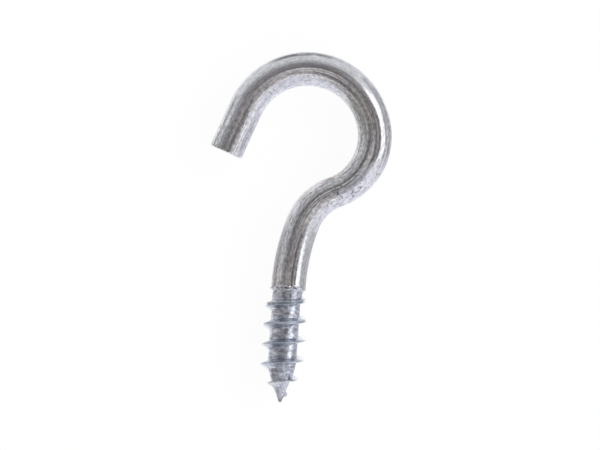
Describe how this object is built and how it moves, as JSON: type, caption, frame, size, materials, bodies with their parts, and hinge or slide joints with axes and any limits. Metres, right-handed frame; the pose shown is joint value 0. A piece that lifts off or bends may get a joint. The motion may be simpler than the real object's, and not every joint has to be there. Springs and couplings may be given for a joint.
{
  "type": "screw hook",
  "caption": "Open hook of bent round wire with a tapered wood-screw thread and gimlet point on its shank.",
  "frame": {"origin": "on the thread's axis, at the shoulder where the plain wire ends and the thread begins", "axes": "+Y up the shank towards the hook, -Y down the thread to the point, +X towards the back of the hook with the mouth opening to -X, +Z square to the flat of the hook, which lies in the XY plane"},
  "size_m": [0.0212, 0.0413, 0.005],
  "materials": {
    "zinc_plated_steel": "bright zinc plate over cold-formed steel wire, faint drawing lines along the wire"
  },
  "bodies": {
    "root": {"screw_hook": "zinc_plated_steel"}
  },
  "joints": []
}
